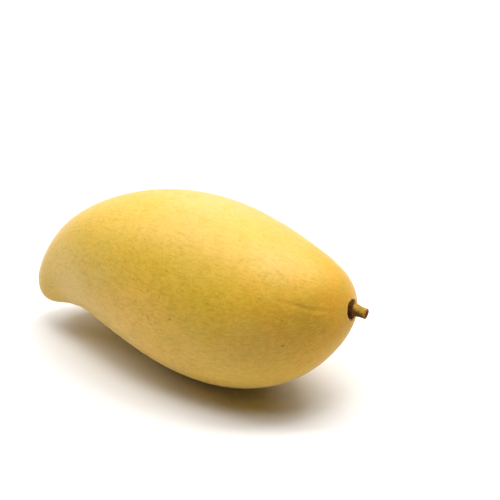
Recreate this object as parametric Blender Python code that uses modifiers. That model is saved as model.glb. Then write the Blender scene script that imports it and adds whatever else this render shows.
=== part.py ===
"""A ripe mango of the long, beaked kind, lying on its cheek as picked, with its short woody stem.

The fruit is lofted along its length: x runs from the beak to the stem end, y to the fruit's
back and z to its upper cheek. It is then rolled and pitched into the way it lies, gets a small
flat spot to rest on, and stands on z = 0 with its box centred on the origin.
"""
import math
from collections import namedtuple

import bmesh
import bpy
import numpy as np
from mathutils import Matrix, Vector

MM = 0.001

# The fruit's form, in millimetres and degrees
FRUIT_LENGTH = 143.0
Section = namedtuple("Section", "turn half_depth centre half_width")
# turn: angle round the length, 0 at the stem end and 180 at the beak
# half_depth and centre: belly to back, and how far the middle stands toward the back
# half_width: across the cheeks
SECTIONS = (
    Section(0, 35.3, -1.3, 34.0),
    Section(20, 35.8, -1.2, 34.3),
    Section(45, 36.6, -2.9, 34.2),
    Section(70, 37.4, 0.1, 34.0),
    Section(95, 35.4, 6.0, 35.5),
    Section(120, 30.4, 10.6, 35.2),
    Section(142, 27.4, 9.6, 32.6),
    Section(162, 29.4, 2.7, 31.1),
    Section(180, 28.7, 1.5, 29.4),
)
BACK_FULLNESS = 0.05
RINGS = 46
SIDES = 60

# The scar of the flower, a small raised point on the belly close to the beak
SCAR_TURN = 143.0
SCAR_ROUND = 200.0
SCAR_HEIGHT = 0.7
SCAR_RADIUS = 2.3

# How it lies
ROLL = 48.0
PITCH = 11.0
REST_FLAT_DEPTH = 0.4

# The stem, and the seat that it stands in
STEM_DIRECTION = Vector((0.996, 0.025, -0.09)).normalized()
GAP = 0.3
SEAT_DEPTH = 1.9
SEAT_RADIUS = 4.0
ROOT_LENGTH = 3.0
ROOT_RADIUS = 2.0
COLLAR_RADIUS = SEAT_RADIUS - GAP
COLLAR_EDGE_HEIGHT = 0.6
COLLAR_HEIGHT = 1.2
STUB_LENGTH = 7.9
STUB_FOOT_RADIUS = 2.5
STUB_WAIST_RADIUS = 1.9
STUB_END_RADIUS = 2.1
STUB_END_LENGTH = 1.5
STUB_END_ROUNDING = 0.25
STUB_TAPER_LENGTH = 2.0
STEM_SIDES = 20

# Working sizes of the cutters
CUTTER_REACH = 12.0
SLAB_SIZE = 120.0

# Base colour, roughness and metallic value
SKIN_FINISH = ((0.80, 0.52, 0.10), 0.45, 0.0)
BARK_FINISH = ((0.28, 0.16, 0.04), 0.75, 0.0)

SMOOTH_ANGLE = math.radians(40)
MERGE = 0.00001


def clear_scene():
    for obj in list(bpy.data.objects):
        bpy.data.objects.remove(obj, do_unlink=True)


def new_collection(name):
    collection = bpy.data.collections.new(name)
    bpy.context.scene.collection.children.link(collection)
    return collection


def new_material(name, finish):
    colour, roughness, metallic = finish
    material = bpy.data.materials.new(name)
    material.use_nodes = True
    shader = material.node_tree.nodes["Principled BSDF"]
    shader.inputs["Base Color"].default_value = (*colour, 1.0)
    shader.inputs["Roughness"].default_value = roughness
    shader.inputs["Metallic"].default_value = metallic
    return material


def new_object(name, mesh, collection, parent):
    obj = bpy.data.objects.new(name, mesh)
    collection.objects.link(obj)
    obj.parent = parent
    return obj


def smooth_curve(stations, values, at):
    """Natural cubic curve through the stations' values, read at the places in `at`."""
    gaps = np.diff(stations)
    rises = np.diff(values) / gaps
    count = len(stations)
    system = np.eye(count)
    bends = np.zeros(count)
    for i in range(1, count - 1):
        system[i, i - 1:i + 2] = gaps[i - 1], 2 * (gaps[i - 1] + gaps[i]), gaps[i]
        bends[i] = 6 * (rises[i] - rises[i - 1])
    curvature = np.linalg.solve(system, bends)
    span = np.clip(np.searchsorted(stations, at) - 1, 0, count - 2)
    step = at - stations[span]
    gap = gaps[span]
    start, end = curvature[span], curvature[span + 1]
    slope = rises[span] - gap * (2 * start + end) / 6
    return values[span] + step * slope + step ** 2 * start / 2 + step ** 3 * (end - start) / (6 * gap)


def fruit_point(turn, round_angle):
    """Skin points in millimetres, before the fruit is laid down. Angles are in radians."""
    stations = np.radians([section.turn for section in SECTIONS])
    half_depth, centre, half_width = (
        smooth_curve(stations, np.array([getattr(section, field) for section in SECTIONS]), turn)
        for field in ("half_depth", "centre", "half_width"))
    swell = np.sin(turn)
    x = FRUIT_LENGTH / 2 * np.cos(turn)
    y = centre + half_depth * swell * np.cos(round_angle)
    z = half_width * swell * np.sin(round_angle) * (1 + BACK_FULLNESS * np.cos(round_angle))
    return np.stack([x, y, z], axis=-1)


def raise_scar(points):
    """Lifts the skin away from the fruit's middle around the flower's scar."""
    scar = fruit_point(np.radians(SCAR_TURN), np.radians(SCAR_ROUND))
    far_side = fruit_point(np.radians(SCAR_TURN), np.radians(SCAR_ROUND) + math.pi)
    outward = (scar - far_side) / np.linalg.norm(scar - far_side)
    away = np.linalg.norm(points - scar, axis=-1)
    lift = SCAR_HEIGHT * np.exp(-(away / SCAR_RADIUS) ** 2)
    return points + lift[:, None] * outward


def lay_down():
    """Rotation from the fruit's own axes to the way it lies."""
    roll = Matrix.Rotation(math.radians(ROLL), 4, "X")
    pitch = Matrix.Rotation(-math.radians(PITCH), 4, "Y")
    return pitch @ roll


def build_fruit(collection, parent):
    """A ball whose rings are moved to the fruit's sections."""
    mesh = bpy.data.meshes.new("fruit")
    bm = bmesh.new()
    bmesh.ops.create_uvsphere(bm, u_segments=SIDES, v_segments=RINGS, radius=1.0)
    ball = np.array([vert.co for vert in bm.verts])
    turn = np.arccos(np.clip(ball[:, 2], -1, 1))
    round_angle = np.arctan2(ball[:, 1], ball[:, 0])
    points = raise_scar(fruit_point(turn, round_angle))
    lay = lay_down()
    for vert, point in zip(bm.verts, points):
        vert.co = lay @ Vector(point * MM)
    bmesh.ops.recalc_face_normals(bm, faces=bm.faces)
    bm.to_mesh(mesh)
    bm.free()
    mesh.shade_smooth()
    fruit = new_object("fruit", mesh, collection, parent)
    mesh.materials.append(new_material("mango_skin", SKIN_FINISH))
    return fruit


def stem_frame():
    """Place of the stem: its foot's middle on the seat's floor, +Z out along the stem."""
    pole = lay_down() @ Vector(fruit_point(np.float64(0.0), np.float64(0.0)) * MM)
    turn = STEM_DIRECTION.to_track_quat("Z", "Y").to_matrix().to_4x4()
    return Matrix.Translation(pole - STEM_DIRECTION * SEAT_DEPTH * MM) @ turn


def turned_object(name, profile, collection, parent):
    """Turns (radius, height) pairs in millimetres, listed top to bottom, round the Z axis."""
    mesh = bpy.data.meshes.new(name)
    bm = bmesh.new()
    verts = [bm.verts.new((radius * MM, 0, height * MM)) for radius, height in profile]
    for upper, lower in zip(verts, verts[1:]):
        bm.edges.new((upper, lower))
    bm.to_mesh(mesh)
    bm.free()
    obj = new_object(name, mesh, collection, parent)
    obj.matrix_local = stem_frame()
    screw = obj.modifiers.new("turn", "SCREW")
    screw.steps = screw.render_steps = STEM_SIDES
    screw.use_merge_vertices = True
    screw.merge_threshold = MERGE
    screw.use_smooth_shade = True
    return obj


def build_stem(collection, parent):
    """Root, collar and stub as one turned piece with a slightly flared cut end."""
    top = GAP + STUB_LENGTH
    waist_top = top - STUB_END_LENGTH - STUB_TAPER_LENGTH
    foot = GAP + COLLAR_HEIGHT
    profile = (
        (0, top),
        (STUB_END_RADIUS - STUB_END_ROUNDING, top),
        (STUB_END_RADIUS, top - STUB_END_ROUNDING),
        (STUB_END_RADIUS, top - STUB_END_LENGTH),
        (STUB_WAIST_RADIUS, waist_top),
        (STUB_WAIST_RADIUS, foot + STUB_TAPER_LENGTH),
        (STUB_FOOT_RADIUS, foot),
        (COLLAR_RADIUS, GAP + COLLAR_EDGE_HEIGHT),
        (COLLAR_RADIUS, GAP),
        (ROOT_RADIUS, GAP),
        (ROOT_RADIUS, GAP - ROOT_LENGTH),
        (0, GAP - ROOT_LENGTH),
    )
    stem = turned_object("stem", profile, collection, parent)
    stem.data.materials.append(new_material("stem_bark", BARK_FINISH))
    return stem


def seat_cutter(collection, parent):
    """Follows the stem's foot and root at the gap, and reaches out past the skin."""
    profile = (
        (0, CUTTER_REACH),
        (SEAT_RADIUS, CUTTER_REACH),
        (SEAT_RADIUS, 0),
        (ROOT_RADIUS + GAP, 0),
        (ROOT_RADIUS + GAP, -ROOT_LENGTH),
        (0, -ROOT_LENGTH),
    )
    return turned_object("stem_seat_cutter", profile, collection, parent)


def rest_cutter(fruit, collection, parent):
    """A slab whose top lies just above the fruit's lowest point."""
    lowest = min(vert.co.z for vert in fruit.data.vertices)
    mesh = bpy.data.meshes.new("rest_cutter")
    bm = bmesh.new()
    bmesh.ops.create_cube(bm, size=SLAB_SIZE * MM)
    bm.to_mesh(mesh)
    bm.free()
    slab = new_object("rest_cutter", mesh, collection, parent)
    slab.location.z = lowest + (REST_FLAT_DEPTH - SLAB_SIZE / 2) * MM
    return slab


def cut(obj, cutter, name):
    cutter.hide_render = True
    cutter.display_type = "WIRE"
    boolean = obj.modifiers.new(name, "BOOLEAN")
    boolean.operation = "DIFFERENCE"
    boolean.object = cutter


def settle(parts, holder):
    """Moves the holder so that the whole stands on z = 0 with its box centred in x and y."""
    bpy.context.view_layer.update()
    depsgraph = bpy.context.evaluated_depsgraph_get()
    corners = []
    for part in parts:
        evaluated = part.evaluated_get(depsgraph)
        mesh = evaluated.to_mesh()
        corners += [part.matrix_world @ vert.co for vert in mesh.vertices]
        evaluated.to_mesh_clear()
    spread = np.array(corners)
    low, high = spread.min(axis=0), spread.max(axis=0)
    middle = (low + high) / 2
    holder.location = (-middle[0], -middle[1], -low[2])
    bpy.context.view_layer.update()


def main():
    clear_scene()
    parts = new_collection("mango")
    cutters = new_collection("cutters")
    holder = new_object("mango_holder", None, parts, None)
    fruit = build_fruit(parts, holder)
    stem = build_stem(parts, holder)
    cut(fruit, seat_cutter(cutters, holder), "stem seat")
    cut(fruit, rest_cutter(fruit, cutters, holder), "flat spot")
    fruit.data.set_sharp_from_angle(angle=SMOOTH_ANGLE)
    settle((fruit, stem), holder)


main()
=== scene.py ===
"""A ripe mango of the long, beaked kind, lying on its cheek as picked, with its short woody stem.

The skin repeats the form of the fruit's solid on a fine mesh, with the unevenness, creases and
stem basin of a real one. The stem is a cut stub of bark in a dark, crumbled collar. A stage with
a pale floor, soft light and the camera stands round them. Lengths in tables are in millimetres.
"""
import math
from collections import namedtuple

import bmesh
import bpy
import numpy as np
from bpy.props import FloatProperty, FloatVectorProperty, IntProperty, PointerProperty
from bpy.types import Operator, Panel, PropertyGroup
from mathutils import Matrix, Vector, noise


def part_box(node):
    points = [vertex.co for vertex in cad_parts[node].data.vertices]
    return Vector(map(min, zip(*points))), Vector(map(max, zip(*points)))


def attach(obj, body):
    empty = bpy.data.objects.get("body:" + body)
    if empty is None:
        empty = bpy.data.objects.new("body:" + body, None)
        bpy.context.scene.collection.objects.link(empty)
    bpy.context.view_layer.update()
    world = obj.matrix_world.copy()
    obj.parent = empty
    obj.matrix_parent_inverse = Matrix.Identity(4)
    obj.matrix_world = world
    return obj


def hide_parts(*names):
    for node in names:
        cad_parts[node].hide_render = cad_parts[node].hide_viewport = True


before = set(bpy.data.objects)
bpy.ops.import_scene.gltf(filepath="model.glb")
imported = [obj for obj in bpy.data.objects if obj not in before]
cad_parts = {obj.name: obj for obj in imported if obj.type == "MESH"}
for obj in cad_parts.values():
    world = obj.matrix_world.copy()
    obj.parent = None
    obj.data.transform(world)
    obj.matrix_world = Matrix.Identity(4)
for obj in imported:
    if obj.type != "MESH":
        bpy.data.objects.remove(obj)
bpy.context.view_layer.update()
FRUIT_LOW, FRUIT_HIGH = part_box("fruit")

bl_info = {
    "name": "Ripe mango",
    "version": (1, 0, 0),
    "blender": (4, 5, 0),
    "location": "3D View > Sidebar > Mango",
    "description": "Dresses the mango's solids with skin and bark, and lights them on a stage",
    "category": "Object",
}

MM = 0.001

# Cross-sections along the fruit, in degrees and millimetres.
# turn: angle round the length, 0 at the stem end and 180 at the beak
# half_depth and centre: belly to back, and how far the middle stands toward the back
# half_width: across the cheeks
Section = namedtuple("Section", "turn half_depth centre half_width")
SECTIONS = (
    Section(0, 35.3, -1.3, 34.0),
    Section(20, 35.8, -1.2, 34.3),
    Section(45, 36.6, -2.9, 34.2),
    Section(70, 37.4, 0.1, 34.0),
    Section(95, 35.4, 6.0, 35.5),
    Section(120, 30.4, 10.6, 35.2),
    Section(142, 27.4, 9.6, 32.6),
    Section(162, 29.4, 2.7, 31.1),
    Section(180, 28.7, 1.5, 29.4),
)

# The flower's scar, in degrees and millimetres
SCAR_TURN, SCAR_ROUND = 143.0, 200.0
SCAR_HEIGHT, SCAR_RADIUS = 0.7, 2.3

# The skin's mesh crowds its rings toward both ends by this share
RING_CROWDING = 0.10

# Width of the broad hollows and of the small ones, in millimetres
HOLLOW_SIZE, DIMPLE_SIZE = 24.0, 5.0

# The hollows sink toward the fruit's middle line, and less along it than across it
INWARD = (0.25, 1, 1)

# The stem, and the basin that it stands in, in millimetres
STEM_DIRECTION = Vector((0.996, 0.025, -0.09)).normalized()
SEAT_DEPTH = 1.9
BASIN_REACH = 12.0
BASIN_DEPTH, BASIN_EDGE_RADIUS, BASIN_FLOOR_RADIUS = 1.9, 3.8, 2.9
LIP_HEIGHT, LIP_RADIUS, LIP_WIDTH = 0.26, 4.4, 0.7
# The basin's uneven edge: how far it moves, how many times round, and where it starts
BASIN_WAVES = ((0.08, 3, 1), (0.10, 5, 0), (0.07, 11, 2))
# How far the basin and the collar hang below the stem's axis
COLLAR_DROP = 0.30


class MangoFruitSettings(PropertyGroup):
    length: FloatProperty(
        name="Length", description="From the beak to the stem end",
        default=143 * MM, unit="LENGTH")
    fullness: FloatProperty(
        name="Back fullness", description="How much wider the cheeks are toward the back",
        default=0.05)
    roll: FloatProperty(
        name="Roll", description="Turn about the fruit's length as it lies",
        default=math.radians(48), subtype="ANGLE", unit="ROTATION")
    pitch: FloatProperty(
        name="Pitch", description="How far the stem end stands up as it lies",
        default=math.radians(11), subtype="ANGLE", unit="ROTATION")
    rings: IntProperty(
        name="Rings", description="Rings of mesh along the fruit", default=316, min=16)
    sides: IntProperty(
        name="Sides", description="Mesh faces round the fruit", default=296, min=16)
    unevenness: FloatProperty(
        name="Unevenness", description="Depth of the broad hollows in the skin",
        default=0.18 * MM, unit="LENGTH")
    dimpling: FloatProperty(
        name="Dimpling", description="Depth of the small hollows in the skin",
        default=0.05 * MM, unit="LENGTH")


class MangoSkinSettings(PropertyGroup):
    ripe: FloatVectorProperty(
        name="Ripe yellow", description="Main colour of the skin",
        default=(0.69, 0.413, 0.014), subtype="COLOR", min=0, max=1)
    pale: FloatVectorProperty(
        name="Pale yellow", description="Colour of the lightest patches",
        default=(0.71, 0.455, 0.055), subtype="COLOR", min=0, max=1)
    olive: FloatVectorProperty(
        name="Olive", description="Colour of the patches that ripened last",
        default=(0.56, 0.365, 0.012), subtype="COLOR", min=0, max=1)
    blush: FloatVectorProperty(
        name="Orange blush", description="Colour round the stem",
        default=(0.70, 0.33, 0.007), subtype="COLOR", min=0, max=1)
    tan: FloatVectorProperty(
        name="Tan", description="Colour at the beak's tip",
        default=(0.585, 0.378, 0.055), subtype="COLOR", min=0, max=1)
    # Painted highlight: a whitish colour laid on the upper side, where the sheen of the lamps
    # falls.
    painted_highlight: FloatVectorProperty(
        name="Painted highlight", description="Colour where white wax covers the skin",
        default=(0.74, 0.458, 0.128), subtype="COLOR", min=0, max=1)
    # Painted shade with the skin's own browner tone: the under side toward the stem, which gets
    # less light, takes this colour.
    brown_and_painted_shade: FloatVectorProperty(
        name="Brownish orange", description="Colour of the under side toward the stem",
        default=(0.55, 0.285, 0.008), subtype="COLOR", min=0, max=1)
    # Painted light: as a patch this colour brightens the under side toward the beak, where light
    # bounces up from the floor, and two places on the upper side, by the highlight. It also tints
    # random spots.
    light: FloatVectorProperty(
        name="Light orange", description="Colour of the under side toward the beak",
        default=(0.80, 0.452, 0.040), subtype="COLOR", min=0, max=1)
    # Also painted shade: one patch lays it in a band just below the crease near the stem.
    freckle_and_painted_shade: FloatVectorProperty(
        name="Freckle", description="Colour of the mottle, pores and streaks",
        default=(0.49, 0.275, 0.004), subtype="COLOR", min=0, max=1)
    rust: FloatVectorProperty(
        name="Rust", description="Colour of scratches and specks",
        default=(0.24, 0.125, 0.004), subtype="COLOR", min=0, max=1)


class MangoStemSettings(PropertyGroup):
    length: FloatProperty(
        name="Length", description="From the seat's floor to the cut end",
        default=7.8 * MM, unit="LENGTH")
    roughness: FloatProperty(
        name="Bark depth", description="Depth of the grooves in the bark",
        default=0.16 * MM, unit="LENGTH")
    # Also painted light: the bark takes this colour where it faces up.
    ochre: FloatVectorProperty(
        name="Ochre bark", description="Colour of the bark's upper side",
        default=(0.43, 0.25, 0.030), subtype="COLOR", min=0, max=1)
    # Also painted shade: the bark takes this colour where it faces down.
    brown: FloatVectorProperty(
        name="Brown bark", description="Colour of the bark's under side",
        default=(0.12, 0.048, 0.003), subtype="COLOR", min=0, max=1)
    cut: FloatVectorProperty(
        name="Cut wood", description="Colour of the cut end",
        default=(0.17, 0.018, 0.004), subtype="COLOR", min=0, max=1)
    # Also painted shade on the lower part of the cut end.
    collar: FloatVectorProperty(
        name="Collar", description="Colour of the dried collar at the stem's foot",
        default=(0.060, 0.013, 0.001), subtype="COLOR", min=0, max=1)


class MangoStageSettings(PropertyGroup):
    azimuth: FloatProperty(
        name="Azimuth", description="Camera's direction round the fruit",
        default=math.radians(28.0), subtype="ANGLE", unit="ROTATION")
    elevation: FloatProperty(
        name="Elevation", description="Camera's height angle",
        default=math.radians(28.24), subtype="ANGLE", unit="ROTATION")
    distance: FloatProperty(
        name="Distance", description="From the camera to the point that it looks at",
        default=0.65, unit="LENGTH")
    aim: FloatVectorProperty(
        name="Aim", description="Point that the camera looks at",
        default=(14.13 * MM, 14.18 * MM, 46.12 * MM), subtype="TRANSLATION", unit="LENGTH")
    lens: FloatProperty(
        name="Lens", description="Focal length in millimetres on a 36 mm sensor",
        default=118.86)
    floor_width: FloatProperty(
        name="Floor width", description="Side of the square floor",
        default=8.0, unit="LENGTH")
    floor_colour: FloatVectorProperty(
        name="Floor colour", description="Colour of the pale floor",
        default=(0.90, 0.90, 0.90), subtype="COLOR", min=0, max=1)
    light_power: FloatProperty(
        name="Light", description="Power of all the soft lights together",
        default=19.7, unit="POWER")
    mirrored_strength: FloatProperty(
        name="Mirrored room", description="Brightness of the white room where the fruit mirrors it",
        default=1.0)


def smooth_curve(stations, values, at):
    """Natural cubic curve through the stations' values, read at the places in `at`."""
    gaps = np.diff(stations)
    rises = np.diff(values) / gaps
    count = len(stations)
    system = np.eye(count)
    bends = np.zeros(count)
    for i in range(1, count - 1):
        system[i, i - 1:i + 2] = gaps[i - 1], 2 * (gaps[i - 1] + gaps[i]), gaps[i]
        bends[i] = 6 * (rises[i] - rises[i - 1])
    curvature = np.linalg.solve(system, bends)
    span = np.clip(np.searchsorted(stations, at) - 1, 0, count - 2)
    step = at - stations[span]
    gap = gaps[span]
    start, end = curvature[span], curvature[span + 1]
    slope = rises[span] - gap * (2 * start + end) / 6
    return (
        values[span] + step * slope + step ** 2 * start / 2
        + step ** 3 * (end - start) / (6 * gap))


def smooth_step(value, start, end):
    """0 before start and 1 after end, with a smooth rise between them."""
    part = np.clip((value - start) / (end - start), 0, 1)
    return part * part * (3 - 2 * part)


def section_values(turn):
    """Half depth, centre and half width of the fruit at these turns, in metres."""
    turns, *columns = np.array(SECTIONS).T
    return [smooth_curve(np.radians(turns), column, turn) * MM for column in columns]


def fruit_points(fruit, turn, round_angle):
    """Points on the bare fruit in its own axes: x to the stem, y to the back, z to a cheek."""
    half_depth, centre, half_width = section_values(turn)
    swell = np.sin(turn)
    return np.stack([
        fruit.length / 2 * np.cos(turn),
        centre + half_depth * swell * np.cos(round_angle),
        half_width * swell * np.sin(round_angle) * (1 + fruit.fullness * np.cos(round_angle)),
    ], axis=-1)


def lie(fruit):
    """Turn from the fruit's own axes to the way it lies."""
    roll = Matrix.Rotation(fruit.roll, 3, "X")
    pitch = Matrix.Rotation(-fruit.pitch, 3, "Y")
    return np.array(pitch @ roll)


def lie_shift(fruit):
    """Move after the turn that puts the bare fruit where its solid lies."""
    turn, round_angle = np.meshgrid(np.linspace(0, math.pi, 181), np.linspace(0, math.tau, 181))
    points = fruit_points(fruit, turn.ravel(), round_angle.ravel()) @ lie(fruit).T
    low, high = points.min(axis=0), points.max(axis=0)
    return np.array([
        FRUIT_LOW.x - low[0],
        (FRUIT_LOW.y + FRUIT_HIGH.y - low[1] - high[1]) / 2,
        FRUIT_HIGH.z - high[2],
    ])


def stem_place(fruit):
    """Frame of the stem: its foot's middle on the seat's floor, +Z out along the stem."""
    pole = lie(fruit) @ fruit_points(fruit, np.float64(0), np.float64(0)) + lie_shift(fruit)
    turn = STEM_DIRECTION.to_track_quat("Z", "Y").to_matrix().to_4x4()
    return Matrix.Translation(Vector(pole) - STEM_DIRECTION * SEAT_DEPTH * MM) @ turn


def stem_up(place):
    """The world's up, seen from the stem's own frame."""
    return np.array(Vector((0, 0, 1)) @ place.to_3x3())


def lumps(points, size, seed):
    """Smooth noise from -1 to 1 at each point, with lumps about `size` across."""
    shift = Vector((17.3, 5.1, 9.7)) * seed
    return np.array([noise.noise(Vector(point) / size + shift) for point in points])


def distance_to_line(points, line):
    """How far each point is from a line of points, and how far along it, from 0 to 1."""
    steps = np.linalg.norm(np.diff(line, axis=0), axis=1)
    starts = np.concatenate([[0], np.cumsum(steps)])
    best = np.full(len(points), np.inf)
    along = np.zeros(len(points))
    for i, step in enumerate(steps):
        way = (line[i + 1] - line[i]) / step
        reach = np.clip((points - line[i]) @ way, 0, step)
        away = np.linalg.norm(points - line[i] - reach[:, None] * way, axis=1)
        nearer = away < best
        best = np.where(nearer, away, best)
        along = np.where(nearer, (starts[i] + reach) / starts[-1], along)
    return best, along


# Fine creases in the skin: depth and half width in millimetres, then places on the fruit as
# (turn, round angle) in degrees
CREASES = (
    (0.20, 0.9, ((10, 117), (18.7, 112), (26.8, 107), (33.7, 102), (39.8, 98.5), (44, 97))),
    (0.12, 0.5, ((27.3, 48.6), (25.7, 39), (25.2, 27), (23.7, 16), (25.7, 8.5))),
)


def crease_depth(fruit, points):
    """How deep the creases are at each point, in metres."""
    depth = np.zeros(len(points))
    for deepest, half_width, places in CREASES:
        turn, round_angle = np.radians(places).T
        away, along = distance_to_line(points, fruit_points(fruit, turn, round_angle))
        fade = np.sin(math.pi * along) ** 0.5
        depth += deepest * MM * np.exp(-(away / (half_width * MM)) ** 2) * fade
    return depth


def raise_scar(fruit, points):
    """Lifts the skin away from the fruit's middle round the flower's scar."""
    turn = math.radians(SCAR_TURN)
    scar, inside = (
        fruit_points(fruit, np.float64(turn), np.float64(math.radians(angle)))
        for angle in (SCAR_ROUND, SCAR_ROUND + 180))
    outward = (scar - inside) / np.linalg.norm(scar - inside)
    away = np.linalg.norm(points - scar, axis=-1)
    lift = SCAR_HEIGHT * MM * np.exp(-(away / (SCAR_RADIUS * MM)) ** 2)
    return points + lift[:, None] * outward


def sink_basin(fruit, points):
    """Sinks the skin round the stem's foot, inside a low rounded lip."""
    foot = stem_place(fruit)
    axes, origin = np.array(foot)[:3, :3], np.array(foot)[:3, 3]
    local = (points - origin) @ axes
    away = local + COLLAR_DROP * MM * stem_up(foot)
    reach = np.hypot(away[:, 0], away[:, 1])
    near = (reach < BASIN_REACH * MM) & (local[:, 2] > -BASIN_REACH * MM)
    angle = np.arctan2(away[near, 1], away[near, 0])
    wobble = sum(move * np.sin(count * angle + start) for move, count, start in BASIN_WAVES)
    radius = reach[near] / MM + wobble
    lip = LIP_HEIGHT * np.exp(-((radius - LIP_RADIUS) / LIP_WIDTH) ** 2)
    drop = BASIN_DEPTH * smooth_step(radius, BASIN_EDGE_RADIUS, BASIN_FLOOR_RADIUS)
    local[near, 2] += (lip - drop) * MM
    return local @ axes.T + origin


def store(mesh, name, values):
    """Keeps one number or vector a vertex on the mesh, for its material."""
    vector = values.ndim == 2
    layer = mesh.attributes.new(name, "FLOAT_VECTOR" if vector else "FLOAT", "POINT")
    layer.data.foreach_set("vector" if vector else "value", values.astype(np.float32).ravel())


def new_mesh(name, points, faces):
    """A mesh from points in millimetres."""
    mesh = bpy.data.meshes.new(name)
    mesh.from_pydata((points * MM).tolist(), [], faces)
    mesh.update()
    return mesh


def new_piece(name, mesh, material, node):
    """Puts a finished mesh in the scene as a piece that may stand for a node."""
    piece = bpy.data.objects.new(name, mesh)
    bpy.context.scene.collection.objects.link(piece)
    mesh.materials.append(material)
    mesh.shade_smooth()
    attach(piece, "root")
    if node:
        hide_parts(node)


class Wire:
    """A node's output. Sums on one that gives a number add Math nodes."""

    def __init__(self, graph, socket):
        self.graph = graph
        self.socket = socket

    def maths(self, operation, first, second):
        return self.graph.add("ShaderNodeMath", {"operation": operation}, {0: first, 1: second})

    def __add__(self, other):
        return self.maths("ADD", self, other)

    def __sub__(self, other):
        return self.maths("SUBTRACT", self, other)

    def __rsub__(self, other):
        return self.maths("SUBTRACT", other, self)

    def __mul__(self, other):
        return self.maths("MULTIPLY", self, other)

    def __truediv__(self, other):
        return self.maths("DIVIDE", self, other)

    def __rtruediv__(self, other):
        return self.maths("DIVIDE", other, self)

    __radd__ = __add__
    __rmul__ = __mul__

    def larger(self, other):
        return self.maths("MAXIMUM", self, other)


class Graph:
    """The nodes of a material or world, and the shader that they feed."""

    # A Mix node's colour sockets by number, because its other sockets share their names
    MIX_FACTOR, MIX_UNDER, MIX_OVER, MIX_RESULT = 0, 6, 7, 2

    def __init__(self, owner, shader="Principled BSDF"):
        owner.use_nodes = True
        self.owner = owner
        self.nodes = owner.node_tree.nodes
        self.links = owner.node_tree.links
        self.shader = self.nodes[shader]

    @classmethod
    def material(cls, name):
        return cls(bpy.data.materials.new(name))

    def add(self, kind, settings, inputs, output=0):
        """Adds a node of this type, with its settings, then its sockets' values or links."""
        node = self.nodes.new(kind)
        for name, value in settings.items():
            setattr(node, name, value)
        for name, value in inputs.items():
            self.feed(node.inputs[name], value)
        return Wire(self, node.outputs[output])

    def feed(self, socket, value):
        if isinstance(value, Wire):
            self.links.new(value.socket, socket)
        elif socket.type == "RGBA" and len(value) == 3:
            socket.default_value = (*value, 1)
        else:
            socket.default_value = value

    def finish(self, **inputs):
        """Feeds the shader's sockets, named with _ for spaces."""
        for name, value in inputs.items():
            self.feed(self.shader.inputs[name.replace("_", " ")], value)
        return self.owner

    def attribute(self, name, output="Vector"):
        return self.add("ShaderNodeAttribute", {"attribute_name": name}, {}, output)

    def vector(self, operation, first, second, output="Vector"):
        return self.add(
            "ShaderNodeVectorMath", {"operation": operation}, {0: first, 1: second}, output)

    def scaled(self, vector, factors):
        return self.vector("MULTIPLY", vector, factors)

    def distance(self, vector, point=(0, 0, 0)):
        return self.vector("DISTANCE", vector, point, "Value")

    def noise(self, vector, size, detail=2.0, roughness=0.5):
        return self.add("ShaderNodeTexNoise", {}, {
            "Vector": vector, "Scale": 1 / size, "Detail": detail, "Roughness": roughness}, "Fac")

    def cells(self, vector, size):
        """How far it is to the nearest of many scattered points."""
        return self.add(
            "ShaderNodeTexVoronoi", {}, {"Vector": vector, "Scale": 1 / size}, "Distance")

    def band(self, value, start, end):
        """0 at start and 1 at end of the value's range, with a smooth rise between them."""
        return self.add("ShaderNodeMapRange", {"interpolation_type": "SMOOTHSTEP"}, {
            "Value": value, "From Min": start, "From Max": end})

    def tint(self, factor, under, over):
        """Lays one colour over another."""
        return self.add("ShaderNodeMix", {"data_type": "RGBA"}, {
            self.MIX_FACTOR: factor, self.MIX_UNDER: under, self.MIX_OVER: over},
            self.MIX_RESULT)

    def bump(self, height, strength):
        """A relief of this height in millimetres."""
        return self.add("ShaderNodeBump", {}, {
            "Height": height, "Distance": MM, "Strength": strength})


# Marks on the skin: place as (turn, round angle) in degrees, length and width in millimetres,
# lean from the fruit's length in degrees, and how dark
Mark = namedtuple("Mark", "turn round_angle length width lean dark")
MARKS = (
    Mark(92.1, 80.3, 0.7, 0.6, 0, 0.45),
    Mark(82.5, 94.9, 0.9, 0.7, 0, 0.65),
    Mark(52.3, 91.2, 0.8, 0.5, 0, 0.40),
    Mark(49.9, 97.3, 1.1, 0.8, 0, 0.55),
    Mark(93.4, 119.2, 0.8, 0.8, 0, 0.55),
    Mark(101.6, 138.6, 0.9, 0.6, 20, 0.60),
    Mark(81.1, 122.8, 1.4, 0.8, 0, 0.65),
    Mark(88.6, 109.5, 2.1, 0.5, 80, 0.45),
    Mark(89.3, 127.0, 3.2, 0.55, 80, 0.65),
    Mark(88.6, 130.6, 1.3, 0.6, 60, 0.50),
    Mark(102.9, 128.9, 0.8, 0.5, 60, 0.40),
    Mark(84.5, 111.9, 1.8, 0.6, 80, 0.40),
    Mark(76.4, 103.4, 0.9, 0.6, 0, 0.40),
    Mark(67.7, 107.0, 0.9, 0.7, 0, 0.45),
    Mark(64.4, 100.9, 0.8, 0.6, 0, 0.40),
    Mark(64.4, 108.2, 0.9, 0.5, 0, 0.40),
    Mark(75.0, 119.2, 1.1, 0.6, 0, 0.40),
    Mark(70.4, 113.1, 0.9, 0.6, 0, 0.40),
    Mark(46.9, 96.1, 0.7, 0.5, 0, 0.40),
    Mark(50.5, 99.7, 0.9, 0.5, 0, 0.40),
    Mark(41.0, 114.3, 1.0, 0.7, 0, 0.50),
    Mark(39.3, 116.8, 1.1, 0.7, 0, 0.45),
    Mark(32.6, 101.4, 1.3, 0.9, 30, 0.35),
    Mark(47.5, 37.7, 1.4, 0.9, 0, 0.20),
    Mark(51.1, 54.7, 1.4, 0.9, 0, 0.15),
    Mark(23.7, 141.1, 3.2, 1.8, 0, 0.25),
    Mark(41.6, 137.4, 1.3, 1.1, 0, 0.75),
)
# A mark starts and is full at these shares of its half size
MARK_EDGE = (1.4, 0.5)
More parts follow.
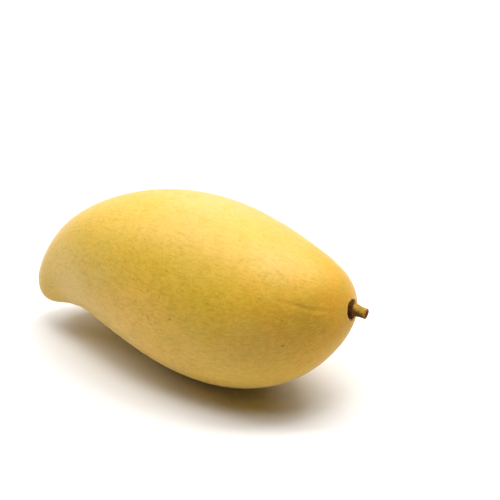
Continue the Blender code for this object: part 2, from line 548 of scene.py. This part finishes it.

# Patches of colour: place as (turn, round angle) in degrees, reach in millimetres, share of the
# colour in the middle, and the colour's name in the skin's settings
# Some patches are painted highlight, light or shade, as marked above them.
Patch = namedtuple("Patch", "turn round_angle reach share colour")
PATCHES = (
    # These two patches are a painted highlight: whitish colour on the upper side, which also hides
    # some of the texture.
    Patch(78.0, 28.0, 44.0, 0.85, "painted_highlight"),
    Patch(46.0, 50.0, 15.0, 0.40, "painted_highlight"),
    # Painted highlight: a lighter orange next to the whitish patches.
    Patch(64.0, 52.0, 14.0, 0.40, "light"),
    Patch(80.0, 100.0, 34.0, 0.70, "olive"),
    Patch(114.0, 84.0, 38.0, 0.65, "olive"),
    # Painted light: lighter orange on the under side toward the beak, where light bounces up from
    # the floor.
    Patch(92.7, 136.0, 30.0, 0.85, "light"),
    # These two patches are painted shade with the skin's own browner tone, on the under side toward
    # the stem.
    Patch(28.0, 136.0, 30.0, 0.95, "brown_and_painted_shade"),
    Patch(52.0, 136.0, 24.0, 0.60, "brown_and_painted_shade"),
    Patch(0.0, 90.0, 40.0, 0.60, "blush"),
    # Painted highlight: lighter orange on the side toward the stem, where the highlight reaches.
    Patch(29.0, 76.0, 13.0, 0.75, "light"),
    Patch(29.5, 95.0, 7.0, 0.45, "olive"),
    # Painted shade: a dark band just below the long crease near the stem.
    Patch(26.5, 114.0, 11.0, 0.95, "freckle_and_painted_shade"),
    Patch(15.0, 100.0, 14.0, 0.95, "blush"),
    Patch(180.0, 0.0, 36.0, 0.45, "tan"),
    Patch(106.0, 58.0, 20.0, 0.50, "pale"),
)
# A patch starts and is full at these shares of its reach
PATCH_EDGE = (1.1, 0.1)

# Width of each pattern in the skin's colour, in millimetres
CLOUD_SIZE, PATCH_SIZE, MOTTLE_SIZE, STREAK_SIZE = 24, 6, 1.5, 0.75
FINE_SIZE, PORE_SIZE = 0.7, 1.3
# The mottle and the streaks are drawn out along the grain
MOTTLE_STRETCH, STREAK_STRETCH = (1, 1, 0.6), (1, 1, 0.22)
# Radius of the round on which the grain is laid out, in millimetres
GRAIN_RADIUS = 34.0
# Share of the texture that the painted highlight hides where it is full
HIGHLIGHT_COVER = 0.55
# Distances from the stem where the skin starts to be rougher and is so in full, in millimetres
STEM_ROUGHENING = (30, 5)


def straight_place(fruit, turn, round_angle):
    """Places on the fruit with its curve taken out, in millimetres, for patterns on the skin."""
    points = fruit_points(fruit, turn, round_angle)
    points[..., 1] -= section_values(turn)[1]
    return points / MM


def grain_place(fruit, turn, round_angle):
    """Places whose third axis runs along the skin from stem to beak, in millimetres."""
    steps = np.linspace(0, math.pi, 400)
    line = straight_place(fruit, steps, np.zeros(len(steps)))
    run = np.concatenate([[0], np.cumsum(np.linalg.norm(np.diff(line, axis=0), axis=1))])
    return np.stack([
        GRAIN_RADIUS * np.cos(round_angle),
        GRAIN_RADIUS * np.sin(round_angle),
        np.interp(turn, steps, run),
    ], axis=-1)


def mark_mask(graph, fruit, place, mark):
    """The mark's share inside a small oval and 0 away from it."""
    turn, round_angle = math.radians(mark.turn), math.radians(mark.round_angle)
    # Short steps in radians, toward the stem and round the fruit
    ahead, aside = 0.001, 0.01
    centre, fore, side = (
        straight_place(fruit, np.array([t]), np.array([r]))[0]
        for t, r in ((turn, round_angle), (turn - ahead, round_angle), (turn, round_angle + aside)))
    fore = Vector(fore - centre).normalized()
    side = Vector(side - centre).normalized()
    out = fore.cross(side)
    lean = math.radians(mark.lean)
    way = fore * math.cos(lean) + side * math.sin(lean)
    across = out.cross(way)
    axes = Matrix((way, across, out)).transposed()
    inside = graph.add("ShaderNodeMapping", {"vector_type": "TEXTURE"}, {
        "Vector": place,
        "Location": Vector(centre),
        "Rotation": axes.to_euler(),
        "Scale": Vector((mark.length, mark.width, mark.width)) / 2,
    })
    return graph.band(graph.distance(inside), *MARK_EDGE) * mark.dark


def largest(masks):
    """The largest of several masks at each place."""
    first, *others = masks
    for other in others:
        first = first.larger(other)
    return first


def lay_patches(graph, fruit, skin, place, cloud, patch):
    """The skin's broad colours, some of them painted highlight, light and shade, and how far the
    painted highlight covers them.
    """
    colour = graph.tint(graph.band(cloud, 0.42, 0.62), skin.ripe, skin.pale)
    edge = (cloud - 0.5) * 0.5 + (patch - 0.5) * 0.5
    highlight_shares = []
    for each in PATCHES:
        turn, round_angle = np.radians([each.turn]), np.radians([each.round_angle])
        middle = Vector(straight_place(fruit, turn, round_angle)[0])
        away = graph.distance(place, middle) / each.reach + edge
        share = graph.band(away, *PATCH_EDGE) * each.share
        colour = graph.tint(share, colour, getattr(skin, each.colour))
        # Keeps the painted highlight's shares, for where it hides the texture
        if each.colour == "painted_highlight":
            highlight_shares.append(share)
    colour = graph.tint(graph.band(patch, 0.50, 0.68) * 0.40, colour, skin.olive)
    colour = graph.tint(graph.band(patch, 0.46, 0.30) * 0.30, colour, skin.light)
    return colour, largest(highlight_shares)


def skin_material(fruit, skin):
    """Broad patches of colour, then mottle, streaks and pores, then single marks."""
    graph = Graph.material("mango_skin_ripe")
    place = graph.attribute("skin_place")
    grain = graph.attribute("skin_grain")

    cloud = graph.noise(place, CLOUD_SIZE, 3)
    patch = graph.noise(place, PATCH_SIZE, 3, 0.55)
    colour, highlighted = lay_patches(graph, fruit, skin, place, cloud, patch)

    mottle = graph.noise(graph.scaled(grain, MOTTLE_STRETCH), MOTTLE_SIZE, 3, 0.6)
    streak = graph.noise(graph.scaled(grain, STREAK_STRETCH), STREAK_SIZE, 2, 0.6)
    fine = graph.noise(place, FINE_SIZE, 2, 0.6)
    # Less of the texture shows under the painted highlight
    bare = 1 - highlighted * HIGHLIGHT_COVER
    for pattern, start, end, share, over in (
            (mottle, 0.50, 0.70, 0.48, skin.freckle_and_painted_shade),
            (mottle, 0.50, 0.30, 0.50, skin.pale),
            (streak, 0.50, 0.66, 0.42, skin.freckle_and_painted_shade),
            (fine, 0.52, 0.68, 0.38, skin.freckle_and_painted_shade),
            (fine, 0.48, 0.32, 0.35, skin.pale)):
        colour = graph.tint(graph.band(pattern, start, end) * bare * share, colour, over)

    pores = graph.band(graph.cells(place, PORE_SIZE), 0.26, 0.08)
    pored = pores * graph.band(patch, 0.38, 0.60) * bare * 0.5
    colour = graph.tint(pored, colour, skin.freckle_and_painted_shade)

    marks = largest([mark_mask(graph, fruit, place, mark) for mark in MARKS])
    colour = graph.tint(marks * graph.band(fine, 0.25, 0.5), colour, skin.rust)

    stem_end = (fruit.length / 2 / MM, -8, 4)
    near_stem = graph.band(graph.distance(place, stem_end), *STEM_ROUGHENING)
    graph.shader.subsurface_method = "RANDOM_WALK"
    return graph.finish(
        Base_Color=colour,
        Roughness=0.46 + patch * 0.12 + pores * 0.08 + near_stem * 0.25,
        Normal=graph.bump(fine * 0.05 + streak * 0.03 - pores * 0.05, 0.8),
        Subsurface_Weight=0.15,
        Subsurface_Radius=(1.5, 0.8, 0.25),
        Subsurface_Scale=MM,
        IOR=1.40,
        Coat_Weight=0.05,
        Coat_Roughness=0.35,
        Sheen_Weight=0.25,
        Sheen_Roughness=0.45,
    )


class MANGO_OT_skin(Operator):
    """Makes the fruit's skin on a fine mesh, with its hollows, creases and stem basin"""

    bl_idname = "mango.skin"
    bl_label = "Make the skin"

    def execute(self, context):
        fruit = context.scene.mango_fruit
        mesh = bpy.data.meshes.new("mango_skin")
        bm = bmesh.new()
        bmesh.ops.create_uvsphere(bm, u_segments=fruit.sides, v_segments=fruit.rings, radius=1.0)
        ball = np.array([vert.co for vert in bm.verts])
        even_turn = np.arctan2(np.hypot(ball[:, 0], ball[:, 1]), ball[:, 2])
        turn = even_turn - RING_CROWDING * np.sin(2 * even_turn)
        round_angle = np.arctan2(ball[:, 1], ball[:, 0])

        bare = fruit_points(fruit, turn, round_angle)
        straight = straight_place(fruit, turn, round_angle)
        depth = (
            fruit.unevenness * lumps(straight, HOLLOW_SIZE, 1)
            + fruit.dimpling * lumps(straight, DIMPLE_SIZE, 2)
            + crease_depth(fruit, bare))
        inward = -straight * INWARD
        inward /= np.linalg.norm(inward, axis=1, keepdims=True)
        points = raise_scar(fruit, bare) + depth[:, None] * inward
        points = points @ lie(fruit).T + lie_shift(fruit)
        points = sink_basin(fruit, points)
        points[:, 2] = np.maximum(points[:, 2], 0)
        for vert, point in zip(bm.verts, points):
            vert.co = point
        bmesh.ops.recalc_face_normals(bm, faces=bm.faces)
        bm.to_mesh(mesh)
        bm.free()
        store(mesh, "skin_place", straight)
        store(mesh, "skin_grain", grain_place(fruit, turn, round_angle))
        material = skin_material(fruit, context.scene.mango_skin)
        new_piece("mango_skin_flesh", mesh, material, "fruit")
        return {"FINISHED"}


# The stem's outline from its root to the middle of the cut end: height above the seat's floor
# and radius, in millimetres
STEM_OUTLINE = (
    (-1.5, 0.0), (-1.5, 2.0), (0.6, 2.6), (1.6, 2.7), (2.6, 2.65), (3.6, 2.4), (5.0, 2.08),
    (6.4, 1.98), (7.4, 2.10), (7.95, 2.12), (8.2, 1.98), (8.18, 1.6), (8.0, 1.1), (7.95, 0.5),
    (8.0, 0.0),
)
STEM_OUTLINE_TOP = max(height for height, radius in STEM_OUTLINE)
STEM_RINGS, STEM_SIDES = 130, 110

# Heights on the stub, in millimetres, where the crust at its foot and the wood at its cut end
# start and are full, in shape and in colour, and where a knot swells
CRUST_SHAPE, CRUST_COLOUR = (4.2, 3.0), (3.6, 1.9)
CUT_SHAPE, CUT_COLOUR = (7.1, 7.7), (6.9, 7.7)
KNOT_HEIGHT, KNOT_WIDTH, KNOT_RISE = 4.8, 0.9, 0.10

# Grooves in the bark: share of the whole depth, how much the pattern is drawn out along the stub,
# width in millimetres, and seed. They are laid out on a round of BARK_RADIUS.
BARK_GROOVES = ((1.0, 0.22, 0.9, 3), (0.5, 0.35, 0.4, 4))
BARK_RADIUS = 2.2
# Depths and a width in millimetres: the bark all over, its crust, and the cut end
BARK_INSET, CRUST_DEPTH, CUT_SINK, CUT_UNEVENNESS = 0.05, 0.22, 0.10, 0.12
LUMP_SIZE = 0.8

# The collar, a ring of round section, in millimetres: its radius, half its width and half its
# height, and how far its middle lies under the skin's level at the basin's edge
COLLAR_RADIUS, COLLAR_HALF_WIDTH, COLLAR_HALF_HEIGHT, COLLAR_SINK = 2.65, 0.95, 0.9, 1.1
COLLAR_EDGE_RADIUS = 3.6
COLLAR_SIDES, COLLAR_TUBE_SIDES = 150, 40
# Its lumps: height and width in millimetres, and seed
COLLAR_LUMPS = ((0.34, 0.9, 6), (0.18, 0.4, 7))


def outline_at(outline, steps):
    """Even steps along an outline of (height, radius) pairs."""
    line = np.array(outline, float)
    run = np.concatenate([[0], np.cumsum(np.linalg.norm(np.diff(line, axis=0), axis=1))])
    at = np.linspace(0, run[-1], steps)
    return np.interp(at, run, line[:, 0]), np.interp(at, run, line[:, 1])


def turned_points(heights, radii, sides):
    """Rings of points about Z, then the two end points on the axis."""
    angle = np.tile(np.linspace(0, math.tau, sides, endpoint=False), len(heights) - 2)
    radius, height = np.repeat(radii[1:-1], sides), np.repeat(heights[1:-1], sides)
    body = np.stack([radius * np.cos(angle), radius * np.sin(angle), height], axis=-1)
    return np.concatenate([body, [[0, 0, heights[0]], [0, 0, heights[-1]]]])


def turned_faces(rings, sides):
    """Faces between the rings of a turned body, and a fan over each end."""
    faces = []
    for ring in range(rings - 1):
        for side in range(sides):
            after = (side + 1) % sides
            low, high = ring * sides, (ring + 1) * sides
            faces.append((low + side, low + after, high + after, high + side))
    first, last = rings * sides, rings * sides + 1
    top = (rings - 1) * sides
    for side in range(sides):
        after = (side + 1) % sides
        faces.append((first, after, side))
        faces.append((last, top + side, top + after))
    return faces


def out_from_axis(points):
    """Directions straight out from the Z axis, and how far out each point is."""
    side = points * (1, 1, 0)
    reach = np.maximum(np.linalg.norm(side, axis=1), 1e-6)
    return side / reach[:, None], reach


def roughen_bark(stem, up, points):
    """Grooves, a knot and a crusted foot on a smooth stub, and an uneven cut end."""
    height = points[:, 2]
    out, reach = out_from_axis(points)
    groove = np.zeros(len(points))
    for share, run, size, seed in BARK_GROOVES:
        grain = out * BARK_RADIUS + np.outer(height, (0, 0, run))
        groove += stem.roughness / MM * share * lumps(grain, size, seed)
    knot = KNOT_RISE * np.exp(-((height - KNOT_HEIGHT) / KNOT_WIDTH) ** 2)
    knot *= np.clip(out @ up + 0.2, 0, 1)
    crust = CRUST_DEPTH * lumps(points, LUMP_SIZE, 8) * smooth_step(height, *CRUST_SHAPE)
    rise = (groove + knot + crust - BARK_INSET) * smooth_step(reach, 0.5, 1.8)
    moved = points + out * rise[:, None]
    sink = CUT_SINK + CUT_UNEVENNESS * lumps(points, LUMP_SIZE, 5)
    moved[:, 2] -= smooth_step(height, *CUT_SHAPE) * sink
    return moved


def bark_material(stem):
    """Streaked bark with painted light and shade: ochre where it faces up and brown where it faces
    down, with a red cut end that is darker on its lower part, and a dark foot.
    """
    graph = Graph.material("stem_bark_dry")
    place = graph.attribute("stem_place")
    lit = graph.attribute("stem_painted_light_and_shade", "Fac")
    end = graph.attribute("stem_end", "Fac")
    foot = graph.attribute("stem_foot", "Fac")
    streak = graph.noise(graph.scaled(place, (1, 1, 0.25)), 0.55, 4, 0.65)
    patch = graph.noise(place, 1.8, 3, 0.6)
    grit = graph.noise(place, 0.22, 3, 0.6)

    # Painted light and shade: ochre where the bark faces up, brown where it faces down.
    upper = graph.band(lit + (patch - 0.5) * 0.8 + (streak - 0.5) * 0.9, 0.0, 0.60)
    cut = graph.band(end + (patch - 0.5) * 0.5, 0.35, 0.75)
    # Painted shade: the cut end is darker on its lower part.
    under = graph.band(lit + (patch - 0.5), 0.25, -0.35)
    from_pith = graph.distance(graph.scaled(place, (1, 1, 0))) + (streak - 0.5) * 0.6
    crust = graph.tint(graph.band(streak, 0.48, 0.66) * 0.6, stem.collar, stem.brown)
    colour = graph.tint(upper, stem.brown, stem.ochre)
    for share, over in (
            (graph.band(streak, 0.48, 0.64) * 0.65, stem.brown),
            (cut * 0.9, stem.cut),
            (cut * under * 0.8, stem.collar),
            (cut * graph.band(from_pith, 0.7, 0.3) * 0.7, stem.collar),
            (cut * graph.band(from_pith, 1.45, 1.85) * 0.5, stem.ochre),
            (graph.band(grit, 0.55, 0.75) * 0.4, stem.collar),
            (graph.band(foot + (patch - 0.5) * 0.9, 0.40, 0.65), crust)):
        colour = graph.tint(share, colour, over)
    return graph.finish(
        Base_Color=colour,
        Roughness=0.62 + streak * 0.25,
        Normal=graph.bump(streak * 0.12 + grit * 0.05, 0.9),
        Specular_IOR_Level=0.15,
    )


def collar_material(stem):
    """Dark crumbs with ochre tips, more of them on the upper side as painted light."""
    graph = Graph.material("stem_collar_dark")
    place = graph.attribute("stem_place")
    lit = graph.attribute("stem_painted_light_and_shade", "Fac")
    crumb = graph.noise(place, 0.5, 4, 0.65)
    grit = graph.noise(place, 0.18, 3, 0.6)
    colour = graph.tint(graph.band(crumb, 0.50, 0.70) * 0.7, stem.collar, stem.brown)
    # Painted light: more ochre tips where the collar faces up.
    colour = graph.tint(graph.band(crumb + lit * 0.25, 0.62, 0.80) * 0.8, colour, stem.ochre)
    colour = graph.tint(graph.band(grit, 0.62, 0.80) * 0.3, colour, stem.ochre)
    return graph.finish(
        Base_Color=colour,
        Roughness=0.55 + crumb * 0.3,
        Normal=graph.bump(crumb * 0.15 + grit * 0.06, 1.0),
        Specular_IOR_Level=0.05,
    )


class MANGO_OT_stem(Operator):
    """Makes the cut stem with its bark, and the crumbled collar in the stem basin"""

    bl_idname = "mango.stem"
    bl_label = "Make the stem"

    def execute(self, context):
        fruit = context.scene.mango_fruit
        stem = context.scene.mango_stem
        place = stem_place(fruit)
        up = stem_up(place)
        self.make_stub(stem, place, up)
        self.make_collar(fruit, stem, place, up)
        return {"FINISHED"}

    def make_stub(self, stem, place, up):
        """The cut stub of bark, whose root is hidden in the fruit."""
        heights, radii = outline_at(STEM_OUTLINE, STEM_RINGS)
        heights = heights * (stem.length / (STEM_OUTLINE_TOP * MM))
        points = roughen_bark(stem, up, turned_points(heights, radii, STEM_SIDES))
        mesh = new_mesh("mango_stem_stub", points, turned_faces(STEM_RINGS - 2, STEM_SIDES))
        height = points[:, 2]
        upper = out_from_axis(points)[0] @ up
        store(mesh, "stem_place", points)
        # How far the stub faces up, a little more toward the cut end; it paints light above and
        # shade below.
        store(mesh, "stem_painted_light_and_shade", upper + 0.16 * (height - 5.2))
        store(mesh, "stem_end", smooth_step(height, *CUT_COLOUR))
        # The dark crust reaches farther up on the under side, as painted shade.
        store(mesh, "stem_foot", smooth_step(height + 0.4 * upper, *CRUST_COLOUR))
        mesh.transform(place)
        new_piece("mango_stem_stub", mesh, bark_material(stem), "stem")

    def make_collar(self, fruit, stem, place, up):
        """A lumpy ring that fills the basin round the stem's foot."""
        around, across = COLLAR_SIDES, COLLAR_TUBE_SIDES
        angle, turn = np.meshgrid(
            np.linspace(0, math.tau, around, endpoint=False),
            np.linspace(0, math.tau, across, endpoint=False), indexing="ij")
        angle, turn = angle.ravel(), turn.ravel()
        end_way = np.array((math.cos(fruit.pitch), 0, math.sin(fruit.pitch)))
        slope = end_way @ np.array(place)[:3, :3]
        tilt = (slope[0] * np.cos(angle) + slope[1] * np.sin(angle)) / slope[2]
        height = SEAT_DEPTH - COLLAR_EDGE_RADIUS * tilt - COLLAR_SINK

        middle = np.stack([
            COLLAR_RADIUS * np.cos(angle), COLLAR_RADIUS * np.sin(angle), height], axis=-1)
        wide = COLLAR_HALF_WIDTH * np.cos(turn)
        out = np.stack([
            wide * np.cos(angle), wide * np.sin(angle), COLLAR_HALF_HEIGHT * np.sin(turn)], axis=-1)
        points = middle + out
        out /= np.linalg.norm(out, axis=1, keepdims=True)
        lump = sum(rise * lumps(points, size, seed) for rise, size, seed in COLLAR_LUMPS)
        points += out * lump[:, None]
        faces = []
        for i in range(around):
            for j in range(across):
                a, b = (i + 1) % around, (j + 1) % across
                faces.append((i * across + j, a * across + j, a * across + b, i * across + b))
        mesh = new_mesh("mango_stem_collar", points, faces)
        store(mesh, "stem_place", points)
        # How far the collar faces up, for its painted light.
        store(mesh, "stem_painted_light_and_shade", out_from_axis(points)[0] @ up)
        mesh.transform(place @ Matrix.Translation(-COLLAR_DROP * MM * Vector((up[0], up[1], 0))))
        new_piece("mango_stem_collar", mesh, collar_material(stem), None)


def new_light(name, power, size, place, aim):
    """A rectangular soft light that looks at a point."""
    lamp = bpy.data.lights.new(name, "AREA")
    lamp.shape = "RECTANGLE"
    lamp.size, lamp.size_y = size
    lamp.energy = power
    light = bpy.data.objects.new(name, lamp)
    bpy.context.scene.collection.objects.link(light)
    light.location = place
    light.rotation_euler = (place - aim).to_track_quat("Z", "Y").to_euler()


# The soft lights: place as seen from the camera, from the fruit's middle, and size, in metres,
# and share of the whole power
Light = namedtuple("Light", "name right back up size share")
LIGHTS = (
    Light("overhead_light", 0.0, 0.2, 0.8, (2.4, 0.4), 0.44),
    Light("front_light", 0.0, -0.2, 0.8, (0.3, 0.3), 0.10),
    Light("right_light", 0.3, 0.1, 0.75, (0.3, 0.5), 0.185),
    Light("high_left_light", -0.3, 0.1, 0.75, (0.3, 0.5), 0.10),
    Light("left_light", -0.8, 0.1, 0.6, (0.5, 0.8), 0.03),
    Light("back_light", 0.0, 0.9, 0.5, (1.4, 0.5), 0.145),
)
# Point above the floor that the lights look at, in metres
LIGHTS_AIM = Vector((0, 0, 0.03))

# Distances from the fruit where the floor starts to shine white and is plain white, in metres
FAR_FLOOR = (0.4, 1.6)
# Colour of the faint clouds in the floor
FLOOR_CLOUD = (0.86, 0.86, 0.86)

# The mirrored room dims toward the camera's right: where it starts and ends, as the cosine of
# the angle from that side, and the share that is left
ROOM_DIMMING = (0.1, 0.7)
ROOM_RIGHT_SHARE = 0.15

# The camera's sensor, in millimetres
SENSOR_WIDTH = 36


class MANGO_OT_stage(Operator):
    """Makes the pale floor, the soft lights, the mirrored room and the camera"""

    bl_idname = "mango.stage"
    bl_label = "Make the stage"

    def execute(self, context):
        stage = context.scene.mango_stage
        right = Vector((math.cos(stage.azimuth), math.sin(stage.azimuth), 0))
        back = Vector((-math.sin(stage.azimuth), math.cos(stage.azimuth), 0))
        self.make_floor(stage)
        self.make_room(context, stage, right)
        for light in LIGHTS:
            place = LIGHTS_AIM + right * light.right + back * light.back + Vector((0, 0, light.up))
            new_light(light.name, light.share * stage.light_power, light.size, place, LIGHTS_AIM)
        self.make_camera(context, stage)
        return {"FINISHED"}

    def make_floor(self, stage):
        mesh = bpy.data.meshes.new("floor")
        bm = bmesh.new()
        bmesh.ops.create_grid(bm, x_segments=8, y_segments=8, size=stage.floor_width / 2)
        bm.to_mesh(mesh)
        bm.free()
        graph = Graph.material("pale_floor")
        place = graph.add("ShaderNodeTexCoord", {}, {}, "Object")
        cloud = graph.noise(place, 0.4, 2)
        far = graph.band(graph.distance(place), *FAR_FLOOR)
        mesh.materials.append(graph.finish(
            Emission_Color=graph.tint(far, (0, 0, 0), (1, 1, 1)),
            Emission_Strength=1.0,
            Base_Color=graph.tint(cloud * 0.06, stage.floor_colour, FLOOR_CLOUD),
            Roughness=0.75 + cloud * 0.05,
            Specular_IOR_Level=0.0,
        ))
        floor = bpy.data.objects.new("floor", mesh)
        bpy.context.scene.collection.objects.link(floor)

    def make_room(self, context, stage, right):
        """White past the floor's edge, and a white room in what the fruit mirrors."""
        graph = Graph(bpy.data.worlds.new("soft_room"), "Background")
        direction = graph.add("ShaderNodeTexCoord", {}, {}, "Generated")
        bright = stage.mirrored_strength
        mirrored = graph.add("ShaderNodeMapRange", {}, {
            "Value": graph.vector("DOT_PRODUCT", direction, right, "Value"),
            "From Min": ROOM_DIMMING[0], "From Max": ROOM_DIMMING[1],
            "To Min": bright, "To Max": bright * ROOM_RIGHT_SHARE})
        glossy = graph.add("ShaderNodeLightPath", {}, {}, "Is Glossy Ray")
        seen = graph.add("ShaderNodeLightPath", {}, {}, "Is Camera Ray")
        context.scene.world = graph.finish(
            Color=(1, 1, 1), Strength=(mirrored * glossy).larger(seen))
        context.scene.view_settings.view_transform = "Standard"

    def make_camera(self, context, stage):
        camera = bpy.data.cameras.new("camera")
        camera.sensor_width = SENSOR_WIDTH
        camera.lens = stage.lens
        camera.clip_start, camera.clip_end = 0.01, 50
        back = Vector((
            math.sin(stage.azimuth) * math.cos(stage.elevation),
            -math.cos(stage.azimuth) * math.cos(stage.elevation),
            math.sin(stage.elevation)))
        holder = bpy.data.objects.new("camera", camera)
        context.scene.collection.objects.link(holder)
        holder.location = Vector(stage.aim) + back * stage.distance
        holder.rotation_euler = back.to_track_quat("Z", "Y").to_euler()
        context.scene.camera = holder


class MANGO_PT_mango(Panel):
    """Lists what makes the mango"""

    bl_idname = "MANGO_PT_mango"
    bl_label = "Mango"
    bl_space_type = "VIEW_3D"
    bl_region_type = "UI"
    bl_category = "Mango"

    def draw(self, context):
        for operator, settings in STEPS:
            box = self.layout.box()
            box.operator(operator)
            for name in settings:
                group = getattr(context.scene, name)
                for field in group.bl_rna.properties:
                    if field.identifier not in ("rna_type", "name"):
                        box.prop(group, field.identifier)


SETTINGS = {
    "mango_fruit": MangoFruitSettings,
    "mango_skin": MangoSkinSettings,
    "mango_stem": MangoStemSettings,
    "mango_stage": MangoStageSettings,
}
STEPS = (
    ("mango.skin", ("mango_fruit", "mango_skin")),
    ("mango.stem", ("mango_stem",)),
    ("mango.stage", ("mango_stage",)),
)
CLASSES = (*SETTINGS.values(), MANGO_OT_skin, MANGO_OT_stem, MANGO_OT_stage, MANGO_PT_mango)


def register():
    for each in CLASSES:
        bpy.utils.register_class(each)
    for name, group in SETTINGS.items():
        setattr(bpy.types.Scene, name, PointerProperty(type=group))


def unregister():
    for name in SETTINGS:
        delattr(bpy.types.Scene, name)
    for each in reversed(CLASSES):
        bpy.utils.unregister_class(each)


def main():
    register()
    bpy.ops.mango.skin()
    bpy.ops.mango.stem()
    bpy.ops.mango.stage()


if __name__ == "__main__":
    main()
